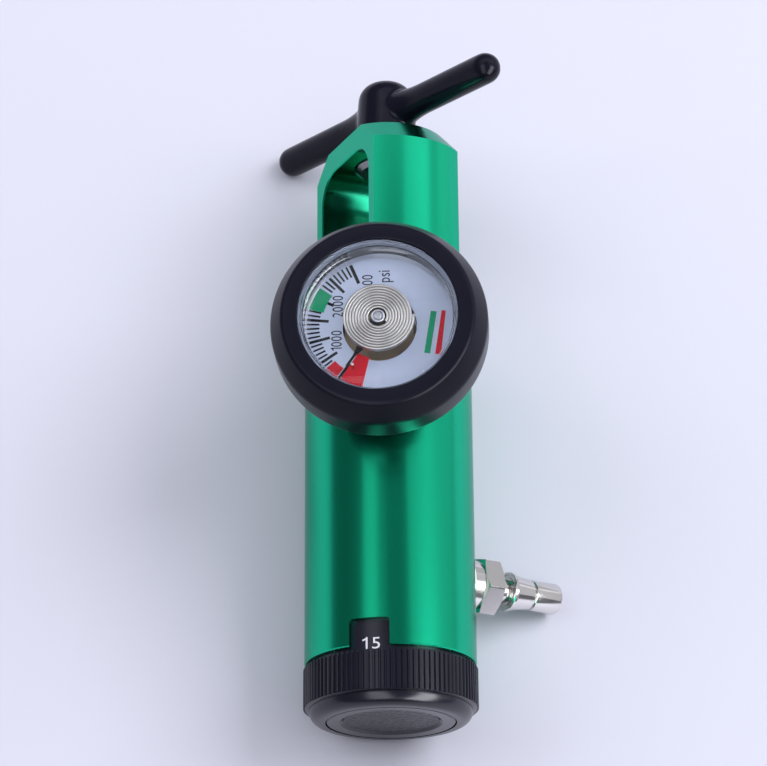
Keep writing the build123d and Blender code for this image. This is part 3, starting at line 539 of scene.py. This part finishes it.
def make_boot():
    """The rubber boot round the gauge's case."""
    profile = [
        (8.0, case_seat),
        (8.0, 20.4, 0.3),
        (20.4, 20.4, 2.4),
        (23.86, 25.2, 3.0),
        (23.86, 32.6, 3.2),
        (21.0, 37.8, 1.3),
        (17.5, 37.8, 0.4),
        (17.4, lens_front),
        (20.0, lens_front),
        (20.0, case_seat),
    ]
    mesh = turned("gauge_boot_skin", rounded(profile), GAUGE)
    add_piece("gauge_boot_skin", mesh, "black_rubber", "root", ["gauge_boot"])


def make_lens():
    """The clear cover, a shallow cup with its foot on the dial."""
    profile = [
        (0, 36.1),
        (16.6, 36.1, 0.5),
        (16.2, dial_face + 0.3),
        (18.9, dial_face + 0.3, 0.2),
        (18.9, 36.9, 0.2),
        (17.0, 36.9, 0.1),
        (16.7, lens_front, 0.15),
        (0, lens_front),
    ]
    mesh = turned("gauge_crystal", rounded(profile, 3), GAUGE, closed=False)
    add_piece("gauge_crystal", mesh, "clear", "root", ["gauge_lens"])


def make_dial_print():
    """Tick marks, numbers and coloured zones, a hair's breadth above the dial."""
    low, high, zone_lift = dial_face - 0.02, dial_face + 0.03, 0.02
    print_way = GAUGE @ Matrix.Translation((-0.45, 0.25, 0))
    minor, major, last = (12.9, 0.42), (10.9, 0.65), (10.9, 0.75)       # inner end and width
    tick_outer, minor_step, major_step = 15.7, 100, 500
    work = bmesh.new()
    for reading in range(0, full_reading + 1, minor_step):
        inner, width = minor if reading % major_step else major
        if reading == full_reading:
            inner, width = last
        angle = zero_angle - sweep * reading / full_reading
        prism(work, stroke(angle, inner, tick_outer, width), low, high)
    add_piece("dial_ticks", finished("dial_ticks", work, print_way), "pointer_black", "root")
    zones = (
        ("dial_full_zone", "print_green", [sector(12.4, 15.9, 144.0, 164.5)]),
        ("dial_empty_zone", "print_red", [sector(12.5, 15.6, 221.0, 233.0), sector(7.8, 15.4, 236.5, 256.5)]),
        ("dial_green_bar", "print_green", [[(11.8, 3.0), (10.2, -6.9), (11.5, -7.1), (13.1, 2.8)]]),
        ("dial_red_bar", "print_red", [[(14.2, 3.1), (12.6, -7.2), (13.9, -7.4), (15.1, 2.9)]]),
    )
    for name, paint, shapes in zones:
        work = bmesh.new()
        for shape in shapes:
            prism(work, shape, low, high + zone_lift)
        add_piece(name, finished(name, work, print_way), "dial_white", "root", paint=paint)
    narrow = 0.74
    works = []
    for text, x, y, height in (
        ("1000", -9.2, -3.4, 2.5),
        ("2000", -8.9, 4.7, 2.5),
        ("3000", -2.3, 9.6, 2.5),
        ("psi", 2.0, 11.6, 2.8),
    ):
        # it reads up the body, towards the handle
        work = lettering(text, height, narrow)
        for vert in work.verts:
            vert.co = (x - vert.co.y, y + vert.co.x, low + vert.co.z * (high - low))
        works.append(work)
    add_piece("dial_numbers", finished("dial_numbers", joined(works), print_way), "pointer_black", "root")


def arch(count, full=8):
    """Points round a circle of radius 1, a full number of them to each half turn."""
    return [(math.cos(math.pi * step / full), math.sin(math.pi * step / full)) for step in range(count)]


def make_coil():
    """The flattened tube of the movement, wound in a flat spiral, and its leg through the dial."""
    turns, inner_r, outer_r = 9.1, 2.0, 7.7
    per_turn = 96
    half_width, depth, crown = 0.275, 1.2, 0.1925
    leg_r, leg_foot = 0.36, 25.2
    section = [(half_width, -depth)]
    section += [(half_width * x, crown * (y - 1)) for x, y in arch(9)]
    section.append((-half_width, -depth))
    work = bmesh.new()
    loops = []
    for step in range(int(turns * per_turn) + 1):
        share = step / (turns * per_turn)
        turn = 2 * math.pi * turns * (share - 1)
        radius = inner_r + (outer_r - inner_r) * share
        across = Vector((math.cos(turn), math.sin(turn), 0))
        loops.append([work.verts.new(across * (radius + x) + Vector((0, 0, coil_top + z))) for x, z in section])
    for one, two in zip(loops, loops[1:]):
        for index in range(len(section)):
            after = (index + 1) % len(section)
            work.faces.new((one[index], one[after], two[after], two[index]))
    work.faces.new(loops[0])
    work.faces.new(loops[-1])
    prism(work, [(outer_r + leg_r * x, leg_r * y) for x, y in arch(16)], leg_foot, coil_top - 0.3)
    mesh = finished("bourdon_spiral", work, GAUGE)
    add_piece("bourdon_spiral", mesh, "spring_steel", "root", ["bourdon_coil"], paint="coil_silver")


def make_hub():
    """The hub in the middle of the coil that the pointer turns with."""
    hub = [
        (0, 23.2),
        (0.5, 23.2),
        (0.5, 32.4),
        (1.55, 32.4),
        (1.55, coil_top + 0.2, 0.3),
        (1.15, coil_top + 0.2, 0.1),
        (1.0, coil_top - 0.3, 0.1),
        (0.85, coil_top - 0.3, 0.05),
        (0.75, coil_top + 0.1, 0.2),
        (0, coil_top + 0.1),
    ]
    mesh = turned("pointer_hub", rounded(hub, 4), GAUGE, 64, closed=False)
    add_piece("pointer_hub", mesh, "steel", "gauge_pointer", ["pointer_shaft"], paint="spring_steel")


make_boot()
make_lens()
make_dial_print()
make_coil()
make_hub()

# ---------------------------------------------------------------- outlet


def make_outlet():
    """The chromed hexagon and hose barb."""
    flat_r, corner_turn, edge_r = 6.1, math.radians(44), 5.9
    start, end = 21.9, 26.9             # of the hexagon

    def hex_r(turn):
        side = (turn - corner_turn) % (math.pi / 3) - math.pi / 6
        return flat_r / math.cos(side)

    def bevel(turn):
        return max(0.0, hex_r(turn) - edge_r) / 2

    rings = [
        (1.6, 15.4), (4.5, 15.4), (4.9, 15.8), (4.9, 19.0), (5.6, 19.0), (5.8, 19.2),
        (5.8, start - 0.15), (5.65, start), (edge_r, start), (hex_r, lambda t: start + bevel(t)),
        (hex_r, lambda t: end - bevel(t)), (edge_r, end), (4.9, end), (4.7, end - 0.25), (3.6, end - 0.25),
        (3.4, end), (2.75, end), (2.7, end + 0.1), (2.7, 30.95), (2.8, 31.05), (3.2, 31.05), (3.3, 31.3),
        (3.75, 31.3), (3.85, 31.0), (4.35, 31.0), (4.5, 31.15), (4.5, 31.75), (4.38, 31.9), (4.2, 31.9),
        (3.5, 36.95), (3.4, 37.1), (3.2, 37.1), (3.2, 37.4), (3.35, 37.5), (3.45, 37.5), (3.55, 37.6),
        (3.55, 44.1), (3.4, 44.45), (3.1, 44.6), (2.0, 44.6), (1.6, 44.2),
    ]
    mesh = turned("outlet_barb", rings, OUTLET, 240)
    add_piece("outlet_barb", mesh, "chrome", "root", ["outlet_fitting"], sharp=25)


make_outlet()

# ---------------------------------------------------------------- flow selector


def make_numbers():
    """The flows, moulded white round the collar; the chosen one shows in the notch."""
    shown_at, per_click = -10.2, 30.0
    radius, sunk, raised = 17.7, 0.03, 0.03
    middle, hidden_lift = 0.7, 0.65         # the others stand higher, hidden by the body's edge
    digit_height, stretch, gap = 2.65, 1.22, 2.3
    works = []
    for click, text in enumerate(("15", "10", "8", "6", "4", "3", "2.5", "2", "1.5", "1", ".5", "0")):
        work = lettering(text, digit_height, stretch, gap)
        centre = math.radians(shown_at + per_click * click)
        height = middle + (hidden_lift if click else 0)
        for vert in work.verts:
            turn = centre + vert.co.x / radius
            out = radius - sunk + (sunk + raised) * vert.co.z
            vert.co = (out * math.sin(turn), -out * math.cos(turn), height + vert.co.y)
        works.append(work)
    mesh = finished("flow_numbers", joined(works), UPRIGHT)
    add_piece("flow_numbers", mesh, "white_nylon", "flow_selector", paint="print_white")


make_numbers()

# ---------------------------------------------------------------- T-handle


def make_handle():
    """The dipped skin of the T-handle: hub and bar run together in one smooth surface."""
    bar_angle, bar_along, bar_half, skin_r = 46.0, 133.9, 33.6, 3.62
    root, fade, flare = 4, 13, 1.4          # the bar thickens between these distances from the hub
    end_steps = 12
    voxel, smoothing = 0.32, 36
    bar_turn = math.radians(bar_angle)
    way = Vector((math.sin(bar_turn), -math.cos(bar_turn), 0))
    bar_frame = way.to_track_quat("Z", "Y").to_matrix().to_4x4()
    bar_frame.translation = (0, 0, bar_along)
    half_bar = [(0, -bar_half - skin_r)]
    for step in range(1, end_steps + 1):
        turn = math.pi / 2 * step / end_steps
        half_bar.append((skin_r * math.sin(turn), -bar_half - skin_r * math.cos(turn)))
    for z in range(-fade, 1 - root):
        half_bar.append((skin_r + flare * ((z + fade) / (fade - root)) ** 2, z))
    capsule = half_bar + [(r, -z) for r, z in reversed(half_bar)]
    hub = [(0, 125.9), (7.45, 125.9, 0.3), (6.25, 141.9, 4.4), (0, 141.9)]
    work = bmesh.new()
    work.from_mesh(turned("bar", capsule, bar_frame, 48, closed=False))
    work.from_mesh(turned("post", rounded(hub, 8), Matrix.Identity(4), 96, closed=False))
    mesh = bpy.data.meshes.new("handle_dip")
    work.to_mesh(mesh)
    work.free()
    rough = bpy.data.objects.new("handle_dip", mesh)
    bpy.context.scene.collection.objects.link(rough)
    remesh = rough.modifiers.new("remesh", "REMESH")
    remesh.mode = "VOXEL"
    remesh.voxel_size = voxel
    soften = rough.modifiers.new("soften", "SMOOTH")
    soften.factor = 0.5
    soften.iterations = smoothing
    smooth = evaluated(rough)
    smooth.transform(UPRIGHT)
    add_piece("handle_dip", smooth, "black_dip", "clamp_screw", ["handle_coating"], sharp=180)


make_handle()

# ---------------------------------------------------------------- floor


def make_floor():
    """The pale table that the regulator lies on."""
    half = 3                            # metres
    corners = [(-half, -half, 0), (half, -half, 0), (half, half, 0), (-half, half, 0)]
    mesh = bpy.data.meshes.new("table")
    mesh.from_pydata(corners, [], [(0, 1, 2, 3)])
    floor = bpy.data.objects.new("table", mesh)
    bpy.context.scene.collection.objects.link(floor)
    paint = Paint("table_top", (0.665, 0.655, 0.745), 0.6)
    paint.vary_colour(paint.noise(3.0), (0.65, 0.64, 0.735))
    paint.bump(paint.noise(900.0), 0.05, 0.02)
    floor.data.materials.append(paint.material)


make_floor()
